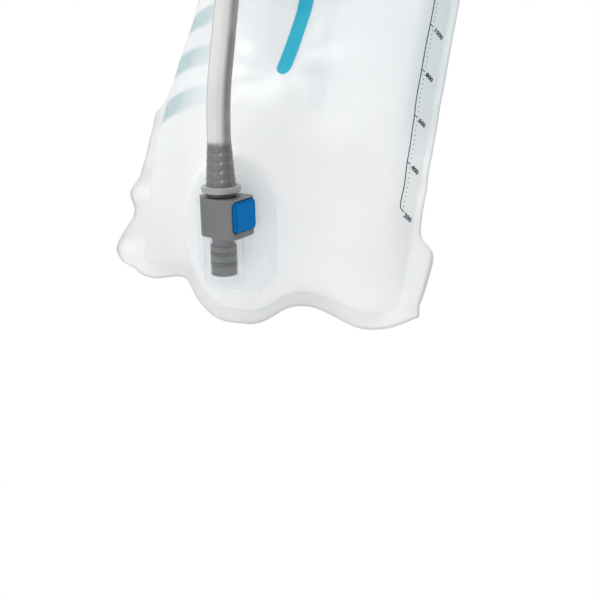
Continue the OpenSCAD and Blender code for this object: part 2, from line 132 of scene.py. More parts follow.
def low_z(x):
    """Height of the bottom edge, which hangs in three lobes."""
    middle_lobe = 12.5 * bump(np.where(x < -4, np.square((x + 4) / 28), (x + 4) / 19))
    right_lobe = 9 * bump((x - 62) / np.where(x < 62, 23, 30))
    left_step = 7 * soft((-x - 39) / 2.2)
    left_lobe = 2 * bump((x + 63) / 10)
    right_end = 3 * np.square(np.maximum(0, (x - 72) / 12))
    left_end = 5 * np.square(np.maximum(0, (-x - 70) / 14))
    return 5 - middle_lobe - right_lobe + left_step - left_lobe + right_end + left_end


def seam_top(x, z):
    """Height of the bottom seam's inner edge below a point of the film."""
    return low_z(x / half_w(z, x) * EDGE_HALF) + SEAM_LOW


def middle(x, z):
    """The seam's own waviness: how far back the middle between both films lies."""
    curl = (8 * soft((-x - 74) / 4) + 4 * soft((x - 74) / 3)) * bump((z - 22) / 32)
    near_side = np.exp(-np.maximum(0, half_w(z, x) - np.abs(x)) / 9)
    low_side = near_side * soft((110 - z) / 8) * np.where(x < 0, 1.0, 0.45)
    pucker = 0.6 * np.sin(z / 4.1 + 0.6 * np.sin(z / 9)) + 0.25 * np.sin(z / 2.3 + 1)
    near_low = np.exp(-np.maximum(0, z - low_z(x) - SEAM_LOW) / 7)
    folds = 0.8 * np.sin(x / 5.6 + 0.8 * np.sin(x / 11)) + 0.3 * np.sin(x / 2.9)
    return curl + pucker * low_side + folds * near_low * bump(x / 75)


def wrinkles(x, z, front):
    """Shallow folds of the filled film, and a few rays around the baffle's lower end."""
    shift = 0.0 if front else 2.1
    long_folds = 0.35 * np.sin(x / 6.5 + 0.35 * z / 9 + shift) * bump((z - 118) / 60)
    cross = 0.28 * np.sin(z / 8.2 - x / 15 + 1.7 + shift) + 0.2 * np.sin(z / 13 + x / 7.5)
    angle = np.arctan2(x - BAFFLE_X, z - BAFFLE_LOW + 4)
    distance = np.hypot(x - BAFFLE_X, z - BAFFLE_LOW)
    rays = 0.5 * np.sin(angle * 9 + shift) * bump((distance - 22) / 13)
    return long_folds + cross + rays


def depth(x, z, low, front):
    """Distance of the film's outside from the middle surface; low is the seam's inner edge."""
    u = np.minimum(1, np.abs(x) / half_w(z, x))
    up = z - low
    neck = np.sin(np.radians(90 * np.clip((MOUTH_Z - z) / 110, 0, 1)))
    # the belly, with a short run-in beside the seams
    body = BELLY * rise(up / 70) * neck * np.sqrt(np.maximum(0, 1 - u ** 2.42))
    body = body * (1 - 0.9 * np.exp(-np.maximum(up, 0) / 6))
    body = body * (1 - 0.8 * np.exp(-(1 - u) * half_w(z, x) / 2.5))
    if front:
        swell = BELLY_FRONT * rise(up / 62) * soft((BAFFLE_LOW + 2 - z) / 6) * bump(x / 34)
        body = body + swell * (u < 1)
    inside = soft((1 - u) * 40) * rise(up / 14) * neck
    body = body + wrinkles(x, z, front) * np.clip(body / 8, 0, 1) * inside
    # the groove that the baffle pulls in
    groove = soft((z - BAFFLE_LOW + 17) / 5) * bump((x - BAFFLE_X) / 13)
    valley = np.minimum(VALLEY + SLANT * np.maximum(0, SLANT_Z - z), 0.9 * BELLY * neck)
    y = body * (1 - groove) + valley * groove
    if front:
        # the flat field that the port's flange is welded to
        reach = np.hypot((x - PORT[0]) / 24.5, (z - FLANGE_Z + 1) / 26)
        flat = soft((1.14 - reach) / 0.07) * (up > 0)
        y = y * (1 - flat) + (FLANGE_Y + (z - FLANGE_Z) * math.tan(TILT)) * flat
    return np.maximum(FILM, y)


def film_y(x, z, front):
    """The film's outside; negative is to the front."""
    low = seam_top(x, z)
    side = -1 if front else 1
    welded = (np.abs(x) >= half_w(z, x)) | (z <= low) | (z >= MOUTH_Z)
    return middle(x, z) + side * np.where(welded, FILM, depth(x, z, low, front))


# ---- mesh helpers ---------------------------------------------------------------------------
def link(name, data):
    obj = bpy.data.objects.new(name, data)
    bpy.context.scene.collection.objects.link(obj)
    return obj


def mesh(name, points, faces, material, body, smooth=True):
    """A piece from bag coordinates in millimetres, riding on a CAD body."""
    verts = (np.asarray(points, float) - [0, 0, HANG_Z]) * MM
    data = bpy.data.meshes.new(name)
    data.from_pydata(verts.tolist(), [], [tuple(int(i) for i in f) for f in faces])
    data.validate()
    if smooth:
        data.polygons.foreach_set("use_smooth", [True] * len(data.polygons))
    data.materials.append(material)
    obj = link(name, data)
    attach(obj, body)
    return obj


def attribute(obj, name, values):
    layer = obj.data.attributes.new(name, "FLOAT", "POINT")
    layer.data.foreach_set("value", np.asarray(values, np.float32))


def grid_faces(rows, cols, offset=0, flip=False, wrap=False):
    """Quads between the points of a grid; wrap joins the last column to the first."""
    j, i = np.meshgrid(np.arange(rows - 1), np.arange(cols if wrap else cols - 1), indexing="ij")
    n = (i + 1) % cols
    quad = [j * cols + i, j * cols + n, (j + 1) * cols + n, (j + 1) * cols + i]
    out = np.stack(quad[::-1] if flip else quad, -1).reshape(-1, 4) + offset
    return out.tolist()


def tube_faces(rings, sides, closed):
    """Faces of a tube, whose last ring is joined to its first or whose ends are capped."""
    last = (rings - 1) * sides
    if closed:
        ends = [[last + k, last + (k + 1) % sides, (k + 1) % sides, k] for k in range(sides)]
    else:
        ends = [list(range(sides))[::-1], [last + k for k in range(sides)]]
    return grid_faces(rings, sides, wrap=True) + ends


def circle(count):
    """Angles of evenly spread points around a circle."""
    return np.linspace(0, 2 * np.pi, count, endpoint=False)


def sweep(rings, sides):
    """Points of a tube through rings of (centre, direction, radius)."""
    around = circle(sides)
    points = []
    for centre, d, r in rings:
        e = np.cross(d, [0, 1, 0])
        e = e / np.linalg.norm(e)
        f = np.cross(d, e)
        points.append(centre + np.outer(np.cos(around), e * r) + np.outer(np.sin(around), f * r))
    return np.concatenate(points)


def unit(v):
    v = np.asarray(v, float)
    return v / np.linalg.norm(v)


# ---- materials ---------------------------------------------------------------------------------
def rgb(r, g, b):
    return (r, g, b, 1.0)


class Graph:
    """Wires the nodes of one material, or of the world."""

    def __init__(self, name, owner=None):
        self.owner = owner or bpy.data.materials.new(name)
        self.owner.use_nodes = True
        self.tree = self.owner.node_tree
        self.tree.nodes.clear()

    def add(self, kind, inputs=None, **settings):
        node = self.tree.nodes.new("ShaderNode" + kind)
        for key, value in settings.items():
            setattr(node, key, value)
        for key, value in (inputs or {}).items():
            self.put(node.inputs[key], value)
        return node

    def put(self, socket, value):
        if isinstance(value, bpy.types.NodeSocket):
            self.tree.links.new(value, socket)
        else:
            socket.default_value = value

    def math(self, operation, a, b=0.0):
        return self.add("Math", {0: a, 1: b}, operation=operation).outputs[0]

    def times(self, a, b):
        return self.math("MULTIPLY", a, b)

    def plus(self, a, b):
        return self.math("ADD", a, b)

    def minus(self, a, b):
        return self.math("SUBTRACT", a, b)

    def rest(self, a):
        return self.minus(1.0, a)

    def length(self, a, b):
        return self.math("SQRT", self.plus(self.times(a, a), self.times(b, b)))

    def dot(self, a, b):
        return self.add("VectorMath", {0: a, 1: b}, operation="DOT_PRODUCT").outputs["Value"]

    def ramp(self, value, low, high, to_low=0.0, to_high=1.0, kind="SMOOTHSTEP"):
        node = self.add("MapRange", {0: value, 1: low, 2: high, 3: to_low, 4: to_high},
                        interpolation_type=kind)
        return node.outputs[0]

    def mix(self, share, a, b):
        """Colour a turning into colour b."""
        node = self.add("Mix", data_type="RGBA")
        self.put(node.inputs[0], share)
        self.put(node.inputs[6], a)
        self.put(node.inputs[7], b)
        return node.outputs[2]

    def given(self, name):
        """A value stored on the mesh's points."""
        return self.add("Attribute", attribute_name=name).outputs["Fac"]

    def place(self):
        return self.add("TexCoord").outputs["Object"]

    def facing(self, blend):
        return self.add("LayerWeight", {"Blend": blend}).outputs["Facing"]

    def noise(self, scale, detail=3.0, rough=0.5, stretch=None):
        place = self.place()
        if stretch:
            place = self.add("Mapping", {"Vector": place, "Scale": stretch}).outputs[0]
        inputs = {"Vector": place, "Scale": scale, "Detail": detail, "Roughness": rough}
        return self.add("TexNoise", inputs).outputs[0]

    def bump(self, height, strength, distance, normal=None):
        """A bumped normal; distance is in millimetres."""
        inputs = {"Height": height, "Strength": strength, "Distance": distance * MM}
        if normal is not None:
            inputs["Normal"] = normal
        return self.add("Bump", inputs).outputs[0]

    def skin(self, base, rough, **more):
        """A principled surface; an underscore in a keyword stands for a space."""
        inputs = {key.replace("_", " "): value for key, value in more.items()}
        inputs.update({"Base Color": base, "Roughness": rough})
        return self.add("BsdfPrincipled", inputs).outputs[0]

    def clear(self, colour):
        return self.add("BsdfTransparent", {"Color": colour}).outputs[0]

    def mix_shader(self, share, a, b):
        return self.add("MixShader", {0: share, 1: a, 2: b}).outputs[0]

    def finish(self, shader, kind="OutputMaterial"):
        self.tree.links.new(shader, self.add(kind).inputs["Surface"])
        return self.owner


def lighter(colour, by, lift):
    return rgb(*(min(1.0, c * by + lift) for c in colour))


def plastic(name, colour, rough, edge, edge_highlight, shine):
    """Moulded plastic: fine spark-eroded grain, slightly polished on its edges, with a painted
    highlight that makes those edges paler.

    edge is the width of those edges in millimetres, and the argument after it how much paler the
    painted highlight makes them.
    """
    g = Graph(name)
    round_normal = g.add("Bevel", {"Radius": edge * MM}, samples=6).outputs[0]
    flat_normal = g.add("NewGeometry").outputs["Normal"]
    edges = g.ramp(g.dot(round_normal, flat_normal), 0.995, 0.86)
    cloud = g.noise(90.0, 4.0)
    fine = g.noise(2600.0, 2.0, 0.6)
    base = g.mix(g.ramp(cloud, 0.35, 0.65), rgb(*(c * 0.9 for c in colour)), rgb(*colour))
    # painted highlight: the edges are made paler in colour
    base = g.mix(g.times(edges, edge_highlight), base, lighter(colour, 1.25, 0.06))
    roughness = g.plus(g.ramp(fine, 0.3, 0.7, rough - 0.05, rough + 0.08),
                       g.times(edges, -0.08))
    return g.finish(g.skin(base, roughness, Normal=g.bump(fine, 0.12, 0.03, round_normal),
                           Specular_IOR_Level=shine, IOR=1.5))


def steel(name):
    """Steel, brushed along one direction."""
    g = Graph(name)
    brush = g.noise(900.0, 3.0, 0.6, stretch=(1, 1, 14))
    base = g.mix(g.noise(150.0, 3.0), rgb(0.55, 0.56, 0.57), rgb(0.74, 0.75, 0.76))
    return g.finish(g.skin(base, g.ramp(brush, 0.3, 0.7, 0.2, 0.42), Metallic=1.0,
                           Normal=g.bump(brush, 0.2, 0.04)))


def rubber(name, colour, rough, sheen, glow):
    """Rubber or silicone, faintly mottled; glow is the share of light scattered inside it."""
    g = Graph(name)
    cloud = g.noise(160.0, 4.0)
    fine = g.noise(3200.0, 2.0, 0.6)
    base = g.mix(g.ramp(cloud, 0.3, 0.75), rgb(*colour), lighter(colour, 1.35, 0.02))
    return g.finish(g.skin(base, rough, Sheen_Weight=sheen, Subsurface_Weight=glow,
                           Subsurface_Radius=(0.004, 0.004, 0.006), Subsurface_Scale=0.3,
                           Normal=g.bump(fine, 0.1, 0.04)))


TEAL_STRIP = (0.0, 0.33, 0.46)
STRIP_HALF = 4.0                            # half width of the baffle strip
# painted glow: the film and the port give off this much light of their own colour
PAINTED_FILM_GLOW = 0.175                           # stands for light scattered inside the film
CLEAR_FILM = rgb(0.985, 0.99, 0.993)
BAND_FIRST, BAND_PITCH, BAND_HALF = 91.8, 23.0, 5.6     # heights of the printed bars
BAND_LOW, BAND_HIGH = 80.0, 275.0
BAND_START, BAND_SLOPE = 17.0, 0.09                     # away from the left seam


def strip_mask(g):
    """One over the baffle strip, where the film lies on it and takes its colour."""
    place = g.add("SeparateXYZ", {0: g.place()})
    x = g.minus(place.outputs["X"], BAFFLE_X * MM)
    z = place.outputs["Z"]
    below = g.math("MAXIMUM", g.minus((BAFFLE_LOW - HANG_Z) * MM, z), 0.0)
    above = g.math("MAXIMUM", g.minus(z, (BAFFLE_HIGH - HANG_Z) * MM), 0.0)
    away = g.length(x, g.plus(below, above))
    return g.ramp(away, (STRIP_HALF + 0.1) * MM, (STRIP_HALF - 0.15) * MM)


def band_mask(g, left, height):
    """Soft printed bars rising beside the left seam, fading out in a fine dot screen."""
    above_first = g.minus(height, BAND_FIRST)
    nearest = g.times(g.math("ROUND", g.math("DIVIDE", above_first, BAND_PITCH)), BAND_PITCH)
    off = g.minus(above_first, nearest)
    off = g.minus(off, g.times(g.minus(left, 35.0), BAND_SLOPE))
    before = g.math("MAXIMUM", g.minus(BAND_START, left), 0.0)
    bar = g.ramp(g.length(off, before), BAND_HALF + 1.3, BAND_HALF - 1.3)
    inside = g.times(g.ramp(height, BAND_LOW, BAND_LOW + 1),
                     g.ramp(height, BAND_HIGH + 1, BAND_HIGH - 1))
    dots = g.add("TexVoronoi", {"Vector": g.place(), "Scale": 1100.0, "Randomness": 0.1},
                 feature="F1")
    screen = g.ramp(dots.outputs["Distance"], 0.42, 0.30, 0.55, 1.0)
    screen = g.math("MAXIMUM", screen, g.ramp(left, 44.0, 26.0))
    return g.times(g.times(bar, inside), g.times(g.ramp(left, 66.0, 28.0), screen))


def film_material(name, front):
    """Frosted film: milky and half clear, with an embossed weld along its seams."""
    g = Graph(name)
    seam, rim, near = g.given("seam"), g.given("rim"), g.given("near_seam")
    cloud = g.noise(28.0, 4.0)
    base = g.mix(g.ramp(cloud, 0.3, 0.7), rgb(0.87, 0.874, 0.878), rgb(0.915, 0.918, 0.922))
    see = g.ramp(cloud, 0.3, 0.7, 0.27, 0.33)
    if front:
        # the bars at the left, and the tinted margin that carries the volume scale
        height = g.given("height")
        band = band_mask(g, g.given("from_left"), height)
        base = g.mix(g.times(band, 0.5), base, rgb(0.33, 0.53, 0.54))
        see = g.times(see, g.rest(g.times(band, 0.5)))
        tint = g.times(g.ramp(g.given("from_right"), 17.0, 11.0), g.ramp(height, 60.0, 110.0))
        base = g.mix(g.times(tint, 0.3), base, rgb(0.56, 0.70, 0.72))
    # painted shade: the film is greyer where it curves into a seam
    base = g.mix(g.times(near, 0.2), base, rgb(0.70, 0.71, 0.715))
    base = g.mix(g.times(rim, 0.35), base, rgb(0.48, 0.51, 0.53))
    see = g.times(g.plus(see, g.times(seam, 0.08)), g.rest(g.times(rim, 0.5)))
    strip = strip_mask(g)
    base = g.mix(g.times(strip, 0.97), base, rgb(*TEAL_STRIP))
    see = g.times(see, g.rest(g.times(strip, 0.9)))
    weld = g.add("TexWave", {"Vector": g.place(), "Scale": 420.0, "Distortion": 0.3},
                 wave_type="BANDS", bands_direction="DIAGONAL")
    normal = g.bump(g.noise(1800.0, 3.0, 0.65), 0.10, 0.03)
    normal = g.bump(g.times(weld.outputs["Fac"], seam), 0.25, 0.08, normal)
    # painted glow: the film emits its own colour, which keeps it bright and evens out its shade
    skin = g.skin(base, 0.42, Normal=normal, IOR=1.45,
                  Specular_IOR_Level=g.ramp(strip, 0.0, 1.0, 0.4, 0.1),
                  Emission_Color=base, Emission_Strength=PAINTED_FILM_GLOW)
    through = g.add("BsdfTranslucent", {"Color": base, "Normal": normal}).outputs[0]
    milk = g.mix_shader(g.times(g.rest(strip), 0.5), skin, through)
    see = g.times(see, g.rest(g.times(g.facing(0.35), 0.5)))
    return g.finish(g.mix_shader(see, milk, g.clear(CLEAR_FILM)))


def frosted_port():
    """Milky moulded port: what lies inside shows as a soft blur."""
    g = Graph("frosted_port")
    base = g.mix(g.noise(60.0, 3.0), rgb(0.86, 0.87, 0.875), rgb(0.93, 0.935, 0.94))
    # painted glow: the port emits its own colour, like the film
    skin = g.skin(base, 0.5, Normal=g.bump(g.noise(2200.0, 2.0, 0.6), 0.1, 0.03),
                  Specular_IOR_Level=0.25, Emission_Color=base, Emission_Strength=PAINTED_FILM_GLOW)
    through = g.add("BsdfTranslucent", {"Color": base}).outputs[0]
    blur = g.add("BsdfRefraction", {"Color": rgb(0.98, 0.985, 0.99), "Roughness": 0.14,
                                    "IOR": 1.012}).outputs[0]
    return g.finish(g.mix_shader(g.ramp(g.facing(0.4), 0.1, 1.0, 0.89, 0.78),
                                 g.mix_shader(0.5, skin, through),
                                 g.mix_shader(0.45, g.clear(CLEAR_FILM), blur)))


# the hose's painted light and shade are laid out along this direction
SIDE_AXIS = (0.867, 0.498, 0.0)             # towards the camera's right


def hose_material():
    """Greyish clear hose with painted light: a painted highlight down its middle, painted shade at its
    edges and on its right side, and painted dark over the barb.
    """
    g = Graph("hose_clear")
    facing = g.facing(0.5)
    barb, ridge = g.given("barb"), g.given("ridge")
    aside = g.dot(g.add("NewGeometry").outputs["Normal"], SIDE_AXIS)
    streak = g.noise(110.0, 2.0, 0.4)
    base = g.mix(g.noise(50.0, 3.0), rgb(0.84, 0.84, 0.82), rgb(0.93, 0.93, 0.915))
    # painted shade: darker towards its edges
    base = g.mix(g.ramp(facing, 0.45, 0.97), base, rgb(0.30, 0.295, 0.28))
    # painted shade: darker on the side towards SIDE_AXIS
    base = g.mix(g.ramp(aside, 0.2, 0.72, 0.0, 0.9), base, rgb(0.15, 0.147, 0.14))
    # painted highlight: a bright streak on the side away from SIDE_AXIS
    glint = g.times(g.ramp(aside, -0.85, -0.6), g.ramp(aside, 0.05, -0.25))
    base = g.mix(g.times(glint, 0.8), base, rgb(0.95, 0.95, 0.94))
    # painted shade: a grey edge on both sides
    base = g.mix(g.ramp(facing, 0.62, 0.98, 0.0, 0.8), base, rgb(0.33, 0.325, 0.31))
    base = g.mix(g.ramp(streak, 0.45, 0.75, 0.0, 0.2), base, rgb(0.85, 0.85, 0.83))
    # the barb inside is painted on in dark, with painted shade in its grooves, painted light down its
    # middle and short painted glints on its ridges
    dark = g.mix(ridge, rgb(0.07, 0.072, 0.074), rgb(0.115, 0.117, 0.12))
    dark = g.mix(g.ramp(facing, 0.3, 0.9, 0.35, 0.0), dark, rgb(0.17, 0.17, 0.168))
    ridge_glint = g.times(g.times(g.ramp(aside, 0.1, 0.17), g.ramp(aside, 0.3, 0.22)), ridge)
    dark = g.mix(g.times(ridge_glint, 0.5), dark, rgb(0.8, 0.8, 0.8))
    base = g.mix(g.times(barb, 0.92), base, dark)
    skin = g.skin(base, 0.22, IOR=1.48, Coat_Weight=0.6, Coat_Roughness=0.08,
                  Normal=g.bump(streak, 0.04, 0.1))
    see = g.times(g.ramp(facing, 0.2, 0.9, 0.2, 0.06), g.rest(barb))
    return g.finish(g.mix_shader(see, skin, g.clear(rgb(0.88, 0.88, 0.86))))


def ink_material():
    g = Graph("print_ink")
    patchy = g.ramp(g.noise(900.0, 3.0), 0.35, 0.7)
    return g.finish(g.skin(g.mix(patchy, rgb(0.004, 0.03, 0.035), rgb(0.012, 0.055, 0.06)), 0.5))


PLASTICS = {        # colour, roughness, edge in millimetres, painted edge highlight, shine
    "baffle_teal": (TEAL_STRIP, 0.4, 0.3, 0.25, 0.5),
    "bead_plastic": ((0.78, 0.81, 0.82), 0.45, 0.3, 0.25, 0.5),
    "slider_blue": ((0.006, 0.15, 0.42), 0.4, 0.6, 0.25, 0.5),
    "connector_grey": ((0.172, 0.179, 0.182), 0.36, 0.6, 0.45, 0.6),
    "button_blue": ((0.0, 0.17, 0.5), 0.45, 0.4, 0.05, 0.05),
    "stem_grey": ((0.10, 0.106, 0.108), 0.4, 0.35, 0.3, 0.5),
    "collar_grey": ((0.39, 0.40, 0.405), 0.36, 0.6, 0.4, 0.5),
}
MATERIALS = {name: plastic(name, *look) for name, look in PLASTICS.items()}
MATERIALS.update({
    "film_front": film_material("film_front", True),
    "film_back": film_material("film_back", False),
    "frosted_port": frosted_port(),
    "latch_steel": steel("latch_steel"),
    "seal_rubber": rubber("seal_rubber", (0.02, 0.02, 0.022), 0.6, 0.2, 0.0),
    "hose_clear": hose_material(),
    "bite_silicone": rubber("bite_silicone", (0.01, 0.19, 0.48), 0.42, 0.25, 0.12),
    "print_ink": ink_material(),
})


# ---- film panels ----------------------------------------------------------------------------
BODY_COLS, BODY_ROWS = 151, 231             # over the water space
SIDE_COLS, LOW_ROWS, TOP_ROWS = 6, 5, 7     # across the side, bottom and mouth bands
RIM_FROM = 0.72                             # the outer part of a seam that shows as its rim


def axis_steps():
    """Positions across the panel: u over the water space, q across the seam bands."""
    a = np.linspace(-1, 1, BODY_COLS)
    u = 0.55 * np.sin(np.pi / 2 * a) + 0.45 * a
    band = np.linspace(1, 0, SIDE_COLS + 1)[:-1]
    us = np.concatenate([np.full(SIDE_COLS, -1.0), u, np.full(SIDE_COLS, 1.0)])
    qs = np.concatenate([band, np.zeros(BODY_COLS), band[::-1]])
    return us, qs


def panel_grid(front):
    """The panel's outside as a grid, and how far out in a welded seam each point lies."""
    us, qs = axis_steps()
    band = np.linspace(1, 0, LOW_ROWS + 1)[:-1]
    low = low_z(us * EDGE_HALF)
    rows = [low + SEAM_LOW * (1 - q) for q in band]
    rows += [low + SEAM_LOW + (MOUTH_Z - low - SEAM_LOW) * s
             for s in np.linspace(0, 1, BODY_ROWS) ** 1.25]
    rows += [np.full_like(low, MOUTH_Z + (FILM_TOP - MOUTH_Z) * s)
             for s in np.linspace(0, 1, TOP_ROWS + 1)[1:]]
    z = np.array(rows)
    x = us * half_w(z, us) + np.sign(us) * qs * (SEAM_SIDE + ear(z, us))
    z = z + CORNER_LIFT * qs * np.maximum(0, 1 - (z - low) / 12)
    row_q = np.concatenate([band, np.zeros(BODY_ROWS + TOP_ROWS)])
    in_seam = np.maximum(row_q[:, None], qs[None, :])
    seam_y = middle(x, z) + (-FILM if front else FILM)
    return x, np.where(in_seam > 0, seam_y, film_y(x, z, front)), z, in_seam


def side_distances(x, y):
    """Arc length along each row from the left and from the right seam's inner edge."""
    step = np.sqrt(np.diff(x, axis=1) ** 2 + np.diff(y, axis=1) ** 2)
    run = np.concatenate([np.zeros((x.shape[0], 1)), np.cumsum(step, 1)], 1)
    from_left = run - run[:, SIDE_COLS:SIDE_COLS + 1]
    return from_left, run[:, -SIDE_COLS - 1:-SIDE_COLS] - run


def film_panel(name, front, replaces):
    x, y, z, in_seam = panel_grid(front)
    outer = np.stack([x, y, z], -1)
    normal = np.cross(np.gradient(outer, axis=1), np.gradient(outer, axis=0))
    normal /= np.maximum(np.linalg.norm(normal, axis=-1, keepdims=True), 1e-9)
    inner = outer + (-normal if front else normal) * SHEET
    rows, cols = x.shape
    n = rows * cols
    faces = grid_faces(rows, cols, 0, not front) + grid_faces(rows, cols, n, front)
    ring = list(range(cols)) + [j * cols + cols - 1 for j in range(1, rows)]
    ring += [(rows - 1) * cols + i for i in range(cols - 2, -1, -1)]
    ring += [j * cols for j in range(rows - 2, 0, -1)]
    for a, b in zip(ring, ring[1:] + ring[:1]):
        faces.append([a, a + n, b + n, b] if front else [a, b, b + n, a + n])
    points = np.concatenate([outer.reshape(-1, 3), inner.reshape(-1, 3)])
    material = MATERIALS["film_front" if front else "film_back"]
    obj = mesh(name, points, faces, material, "reservoir")

    from_side = np.maximum(0, half_w(z, x) - np.abs(x))
    from_low = np.maximum(0, z - seam_top(x, z))
    left, right = side_distances(x, y)
    values = {
        "seam": np.clip(in_seam * 4, 0, 1),
        "rim": np.clip((in_seam - RIM_FROM) / (1 - RIM_FROM), 0, 1) ** 2,
        "near_seam": np.exp(-np.minimum(from_side, from_low) / 4),
        "height": z,
        "from_left": left,
        "from_right": right,
    }
    for key, value in values.items():
        attribute(obj, key, np.tile(value.ravel(), 2))
    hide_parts(replaces)


# ---- print: volume scale ---------------------------------------------------------------------
FIRST_MARK, MARK_STEP, MARKS, MARK_ML = 46.5, 20.96, 10, 200
LABEL_TURN, LABEL_SIZE = math.radians(-22), 2.9
LINE_WIDTH, DASH_WIDTH = 0.5, 0.42
HOOK = (2.4, 2.6)                           # the line's foot turns out by this much, and down
TICK = (1.9, 0.6)                           # a mark's tick runs out and down
LABEL = (2.3, 2.1)                          # where its number starts
DASH_FROM, DASH_TO, DASH_FALL = 1.5, 2.0, 0.15
DASHES = 10                                 # small steps between two marks
INK_LIFT = 0.05
ARC_POINTS = 500
SLOPE_STEP = 0.05                           # for the film's slope under a printed point


def on_film(a, z):
    """Points on the front film, a millimetres in from the right seam, at height z."""
    out = []
    for ai, zi in zip(np.atleast_1d(a), np.atleast_1d(z)):
        t = np.sin(np.linspace(np.pi / 2, 0, ARC_POINTS))
        x = t * half_w(zi, np.ones(ARC_POINTS))
        y = film_y(np.minimum(x, half_w(zi, x) - 1e-6), np.full(ARC_POINTS, zi), True)
        run = np.concatenate([[0], np.cumsum(np.hypot(np.diff(x), np.diff(y)))])
        px, e = np.interp(ai, run, x), SLOPE_STEP
        py = film_y(np.array([px, px - e, px]), np.array([zi, zi, zi + e]), True)
        n = np.array([(py[0] - py[1]) / e, -1, (py[2] - py[0]) / e])
        n /= np.linalg.norm(n)
        out.append(np.array([px, py[0], zi]) + n * INK_LIFT)
    return np.array(out)


def line_in(z):
    """Distance of the scale's line from the right seam, along the film."""
    return 8.1 + 1.5 * soft((z - 77) / 6)


class Ink:
    """Collects flat printed shapes, given as (distance in from the right seam, height)."""

    def __init__(self):
        self.points, self.faces = [], []

    def add(self, flat, faces):
        start = sum(len(p) for p in self.points)
        self.points.append(on_film(flat[:, 0], flat[:, 1]))
        self.faces += [[i + start for i in f] for f in faces]

    def stroke(self, path, width, steps=1):
        path = np.asarray(path, float)
        fine = [path[0]]
        for a, b in zip(path, path[1:]):
            fine += [a + (b - a) * k / steps for k in range(1, steps + 1)]
        fine = np.array(fine)
        d = np.gradient(fine, axis=0)
        d /= np.linalg.norm(d, axis=1, keepdims=True)
        s = np.stack([-d[:, 1], d[:, 0]], -1) * width / 2
        m = len(fine)
        self.add(np.concatenate([fine + s, fine - s]),
                 [[k, k + 1, k + 1 + m, k + m] for k in range(m - 1)])

    def text(self, words, a, z):
        curve = bpy.data.curves.new("digits", "FONT")
        curve.body = words
        curve.size = LABEL_SIZE
        curve.resolution_u = 2
        curve.offset = LABEL_SIZE * 0.05    # slightly bold
        holder = link("digits", curve)
        bpy.context.view_layer.update()
        shape = holder.to_mesh()
        c, s = math.cos(LABEL_TURN), math.sin(LABEL_TURN)
        flat = np.array([(a - v.co.x * c + v.co.y * s, z + v.co.x * s + v.co.y * c)
                         for v in shape.vertices])
        faces = [list(p.vertices)[::-1] for p in shape.polygons]
        holder.to_mesh_clear()
        bpy.data.objects.remove(holder)
        self.add(flat, faces)


def volume_scale():
    """The line with its hook, a tick and a number at each mark, and dashes between them."""
    ink = Ink()
    top = FIRST_MARK + MARK_STEP * (MARKS - 1)
    foot = FIRST_MARK + 2.4
    hook = [(line_in(foot) - HOOK[0] * (1 - math.cos(t)), foot - HOOK[1] * math.sin(t))
            for t in np.linspace(math.pi / 2, 0, 7)]
    ink.stroke(hook, LINE_WIDTH)
    ink.stroke([(line_in(z), z) for z in np.linspace(foot, top, 120)], LINE_WIDTH)
    for k in range(MARKS):
        z = FIRST_MARK + MARK_STEP * k
        line = line_in(z)
        if k:
            ink.stroke([(line, z), (line - TICK[0], z - TICK[1])], LINE_WIDTH, steps=2)
        ink.text(str(MARK_ML * (k + 1)), line - LABEL[0], z - LABEL[1])
        if k + 1 < MARKS:
            for m in range(1, DASHES):
                at = z + MARK_STEP * m / DASHES
                near = line_in(at)
                ink.stroke([(near - DASH_FROM, at), (near - DASH_TO, at - DASH_FALL)], DASH_WIDTH)
    mesh("volume_scale_print", np.concatenate(ink.points), ink.faces,
         MATERIALS["print_ink"], "reservoir", smooth=False)


# ---- hose ---------------------------------------------------------------------------------------
BARB_PITCH, BARB_RINGS = 3.7, 64
BARB_FLARE, BARB_RIB = 1.47, 0.16           # how much the barb widens the hose
BORE_FLARE = 1.05                           # the bore widens by this share of that
END_ROUND = 0.3                             # rounding of the hose's ends
BEND_RINGS, ARCH_RINGS = 18, 90
HOSE_SIDES = 56


def leaning(degrees, x=0.0):
    """A direction up the bag that leans back by an angle."""
    return np.array([x, math.sin(math.radians(degrees)), math.cos(math.radians(degrees))])


# the port's axis
DIR0 = np.array([math.sin(LEAN), -math.cos(LEAN) * math.sin(TILT), math.cos(LEAN) * math.cos(TILT)])
DIR1 = unit(leaning(-11, -0.01))            # the hose above its low bend
DIR2 = leaning(8)                           # and above its middle bend
DIR_LEFT = np.array([-1.0, 0, 0])


def between(a, b):
    return math.acos(float(np.clip(a @ b, -1, 1)))


def hose_path():
    """Centres and directions along the hose."""
    line = [(PORT + DIR0 * s, DIR0) for s in np.linspace(BARB_START, BARB_END, BARB_RINGS)]
    line.append((PORT + DIR0 * (BARB_END + 2), DIR0))

    def bend(a, b, r, total, rings=BEND_RINGS):
        """An arc from the line's end that starts along a and turns towards b by an angle."""
        e = np.cross(unit(np.cross(a, b)), a)
        centre = line[-1][0] + e * r
        line.extend((centre + (-e * math.cos(w) + a * math.sin(w)) * r,
                     a * math.cos(w) + e * math.sin(w))
                    for w in np.linspace(0, total, rings)[1:])

    def straight(d, length, count):
        start = line[-1][0]
        line.extend((start + d * length * k / count, d) for k in range(1, count + 1))

    bend(DIR0, DIR1, BEND_LOW, between(DIR0, DIR1))
    straight(DIR1, RISE_LOW, 6)
    bend(DIR1, DIR2, BEND_MID, between(DIR1, DIR2))
    straight(DIR2, RISE_HIGH, 20)
    bend(DIR2, DIR_LEFT, ARCH_R, math.pi, ARCH_RINGS)
    straight(-DIR2, DROP, 20)
    return line


def ridges(along):
    """The barb's ridges at distances along the port's axis."""
    return np.maximum(0, np.sin((along - BARB_START) / BARB_PITCH * 2 * np.pi)) ** 2


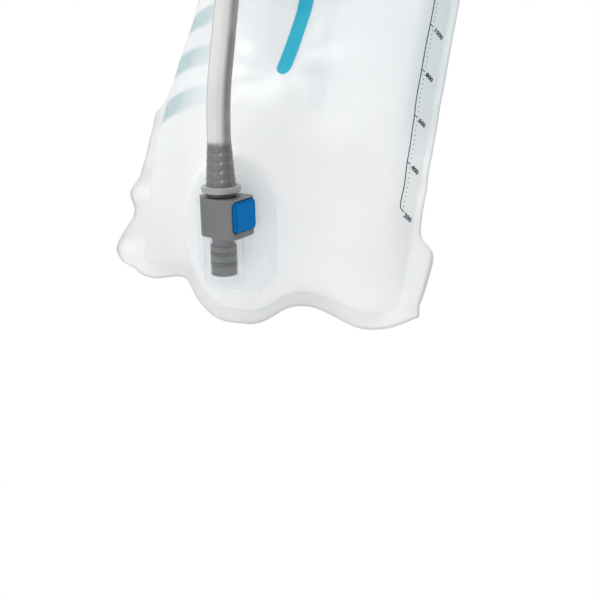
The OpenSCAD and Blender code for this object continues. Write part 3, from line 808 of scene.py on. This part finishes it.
def hose_skin():
    """The hose: flared over the barb, rolled at its ends, and an inner wall; returns its end."""
    line = hose_path()
    at = np.linspace(BARB_START, BARB_END, BARB_RINGS)
    swell = np.clip((BARB_END - at) / (BARB_END - BARB_START), 0, 1)
    wide = np.zeros(len(line))
    wide[:BARB_RINGS] = BARB_FLARE * swell + BARB_RIB * ridges(at) * (swell > 0.1)
    outer = [(p, d, HOSE_R + w) for (p, d), w in zip(line, wide)]
    inner = [(p, d, HOSE_BORE + BORE_FLARE * w) for (p, d), w in zip(line, wide)]
    start, end = line[0][0], line[-1][0]
    rolled = (start, DIR0, outer[0][2] - 0.35)
    outer[0] = (start + DIR0 * END_ROUND, DIR0, outer[0][2])
    rings = [rolled] + outer + [(end - DIR2 * 0.25, -DIR2, HOSE_R - END_ROUND)] + inner[::-1]
    obj = mesh("hose_skin", sweep(rings, HOSE_SIDES), tube_faces(len(rings), HOSE_SIDES, True),
               MATERIALS["hose_clear"], "hose")
    along = np.array([DIR0 @ (ring[0] - PORT) for ring in rings])
    attribute(obj, "barb", np.repeat(soft((BARB_END - 0.8 - along) / 0.35), HOSE_SIDES))
    attribute(obj, "ridge", np.repeat(ridges(along), HOSE_SIDES))
    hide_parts("drink_tube")
    return end


# ---- mouthpiece -----------------------------------------------------------------------------------
# radius and distance along the flow, down the outside and back up the inside
BITE_OUTSIDE = [(4.6, 22.2), (7.6, 22.2), (8.2, 23.2), (8.3, 24.6), (7.7, 26.0), (7.2, 27.5),
                (7.0, 30), (6.7, 33), (6.35, 36), (6.2, 38.5), (6.5, 41), (7.0, 43.2),
                (7.1, 45.2), (6.5, 46.8), (5.0, 47.7), (2.8, 48.0), (1.0, 48.05)]
BITE_INSIDE = [(1.0, 45.4), (3.2, 44.0), (3.6, 41), (3.6, 33), (4.6, 32.2)]
BITE_SIDES = 64
OVAL_FROM, OVAL_OVER = 30, 14               # along the flow, where it turns oval
OVAL_WIDER, OVAL_FLATTER = 0.16, 0.30
LIP_BACK = 0.9


def mouth_frame(end):
    """Matrix from the mouthpiece's own axes (Z along the flow) to bag coordinates."""
    z = -DIR2
    x = np.array([1.0, 0, 0])
    m = np.eye(4)
    m[:3, 0], m[:3, 1], m[:3, 2], m[:3, 3] = x, np.cross(z, x), z, end
    return m


def bite_valve(end):
    """Soft mouthpiece: round where it grips the nose, oval at the tip with drawn-back sides."""
    profile = np.array(BITE_OUTSIDE + BITE_INSIDE)
    fine = [profile[0]]
    for a, b in zip(profile, np.concatenate([profile[1:], profile[:1]])):
        fine += [a + (b - a) * k / 3 for k in (1, 2, 3)]
    fine = np.array(fine[:-1])
    around = circle(BITE_SIDES)
    oval = np.clip((fine[:, 1] - OVAL_FROM) / OVAL_OVER, 0, 1)
    oval = oval * oval * (3 - 2 * oval)
    points = []
    for (r, h), f in zip(fine, oval):
        x = r * np.cos(around) * (1 + OVAL_WIDER * f)
        y = r * np.sin(around) * (1 - OVAL_FLATTER * f)
        lip = LIP_BACK * f * np.square(np.cos(around)) * (r > 3) * (h > 40)
        points.append(np.stack([x, y, np.full(BITE_SIDES, h) - lip, np.ones(BITE_SIDES)], -1))
    points = np.concatenate(points) @ mouth_frame(end).T
    obj = mesh("bite_valve_skin", points[:, :3], tube_faces(len(fine), BITE_SIDES, True),
               MATERIALS["bite_silicone"], "mouthpiece")
    smooth = obj.modifiers.new("smooth", "SUBSURF")
    smooth.levels = smooth.render_levels = 1
    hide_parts("bite_valve")


# ---- latch spring -----------------------------------------------------------------------------------
COIL_TURNS, COIL_R, WIRE_R, COIL_LENGTH = 3.4, 1.1, 0.17, 2.8
COIL_RINGS, WIRE_SIDES = 120, 12


def latch_spring():
    """The coil behind the release button, inside the room its CAD rings take up."""
    low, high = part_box("latch_spring")
    centre = np.array((low + high) / 2) / MM + [0, 0, HANG_Z]
    port_x = np.array([math.cos(LEAN), math.sin(LEAN) * math.sin(TILT),
                       -math.sin(LEAN) * math.cos(TILT)])
    port_y = np.array([0, math.cos(TILT), math.sin(TILT)])
    axis = unit(port_x * math.cos(YAW) + port_y * math.sin(YAW))
    side = unit(np.cross(axis, DIR0))
    up = np.cross(axis, side)
    t = np.linspace(0, 1, COIL_RINGS)
    angle = t * COIL_TURNS * 2 * np.pi
    line = centre + np.outer((t - 0.5) * COIL_LENGTH, axis) \
        + np.outer(np.cos(angle) * COIL_R, side) + np.outer(np.sin(angle) * COIL_R, up)
    heading = np.gradient(line, axis=0)
    heading /= np.linalg.norm(heading, axis=1, keepdims=True)
    around = circle(WIRE_SIDES)
    points = []
    for p, d, a in zip(line, heading, angle):
        out = np.cos(a) * side + np.sin(a) * up
        points.append(p + np.outer(np.cos(around) * WIRE_R, out)
                      + np.outer(np.sin(around) * WIRE_R, np.cross(d, out)))
    obj = mesh("latch_coil", np.concatenate(points), tube_faces(COIL_RINGS, WIRE_SIDES, False),
               MATERIALS["latch_steel"], "connector")
    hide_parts("latch_spring")
    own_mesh(obj)


# ---- carried-over CAD nodes ---------------------------------------------------------------------
def paint_nodes():
    """Gives every CAD node but the film its material; the record's slots name the materials."""
    for row in frame["record"]["subparts"]:
        if row["material_slot"] != "film":
            materials = frame["nodes"][row["node"]].data.materials
            materials.clear()
            materials.append(MATERIALS[row["material_slot"]])


# ---- stage, light and camera, placed in metres in the row frame -----------------------------------
FLOOR_R, FLOOR_Z, FLOOR_SIDES = 0.8, -0.7, 96
LIGHTS = {          # place, height it aims at, size, watts, colour
    "key": ((-1.1, -1.7, 0.68), -0.28, 0.7, 5.2, (1.0, 0.995, 0.985)),
    "top": ((-0.13, -1.0, 1.92), -0.28, 0.9, 37.0, (1, 1, 1)),
    "back": ((0.7, 1.9, 0.25), -0.25, 1.8, 10.0, (1, 1, 1)),
}
SKY_AXIS, SKY_LOW, SKY_HIGH = (-0.1, -0.3, 0.93), 0.42, 0.84
SKY_COLOUR = rgb(0.995, 0.998, 1.0)


def floor():
    data = bpy.data.meshes.new("floor")
    data.from_pydata([(FLOOR_R * math.cos(t), FLOOR_R * math.sin(t), FLOOR_Z)
                      for t in circle(FLOOR_SIDES)], [], [list(range(FLOOR_SIDES))])
    g = Graph("floor_pale")
    base = g.mix(g.noise(6.0, 3.0), rgb(0.86, 0.86, 0.86), rgb(0.9, 0.9, 0.9))
    data.materials.append(g.finish(g.add("BsdfDiffuse", {"Color": base}).outputs[0]))
    link("floor", data)


def lights():
    for name, (place, aim, size, watts, colour) in LIGHTS.items():
        light = bpy.data.lights.new(name, "AREA")
        light.shape = "DISK"
        light.size = size
        light.energy = watts
        light.color = colour
        obj = link(name, light)
        obj.location = place
        turned = (Vector((0, 0, aim)) - Vector(place)).to_track_quat("-Z", "Y")
        obj.rotation_euler = turned.to_euler()


def world():
    """White for the camera; the light it casts is strongest from above and a little in front."""
    g = Graph("studio", bpy.data.worlds.new("studio"))
    bpy.context.scene.world = g.owner
    above = g.dot(g.add("TexCoord").outputs["Generated"], SKY_AXIS)
    strength = g.ramp(above, -1.0, 1.0, SKY_LOW, SKY_HIGH, kind="LINEAR")
    cast = g.add("Background", {0: SKY_COLOUR, 1: strength}).outputs[0]
    seen = g.add("Background", {0: rgb(1, 1, 1)}).outputs[0]
    by_camera = g.add("LightPath").outputs["Is Camera Ray"]
    g.finish(g.mix_shader(by_camera, cast, seen), "OutputWorld")


AZIMUTH, ELEVATION, ROLL = math.radians(29.9), math.radians(-10.1), math.radians(11.1)
DISTANCE = 420.0                            # millimetres from the point it aims at
FRAME_WIDTH = 269.0583                      # millimetres across the picture at that point
AIM_RIGHT, AIM_UP = 19.4, 3.9               # that point, from the bag's bottom centre
SENSOR = 36.0


def camera():
    sa, ca = math.sin(AZIMUTH), math.cos(AZIMUTH)
    se, ce = math.sin(ELEVATION), math.cos(ELEVATION)
    back = np.array([sa * ce, -ca * ce, se])
    right = np.array([ca, sa, 0])
    up = np.cross(back, right)
    right, up = (right * math.cos(ROLL) + up * math.sin(ROLL),
                 -right * math.sin(ROLL) + up * math.cos(ROLL))
    aim = right * AIM_RIGHT + up * AIM_UP
    place = aim + back * DISTANCE - [0, 0, HANG_Z]
    data = bpy.data.cameras.new("camera")
    data.sensor_width = SENSOR
    data.lens = DISTANCE * SENSOR / FRAME_WIDTH
    data.clip_start = 0.01
    obj = link("camera", data)
    m = Matrix.Identity(4)
    for row in range(3):
        m[row][0], m[row][1], m[row][2] = right[row], up[row], back[row]
        m[row][3] = place[row] * MM
    obj.matrix_world = m
    bpy.context.scene.camera = obj


def build():
    paint_nodes()
    film_panel("front_film", True, "front_panel")
    film_panel("back_film", False, "back_panel")
    volume_scale()
    bite_valve(hose_skin())
    latch_spring()
    floor()
    world()
    lights()
    camera()
    scene = bpy.context.scene
    scene.view_settings.view_transform = "Standard"
    scene.cycles.use_denoising = True
    scene.cycles.transparent_max_bounces = 24
    scene.cycles.max_bounces = 10


build()
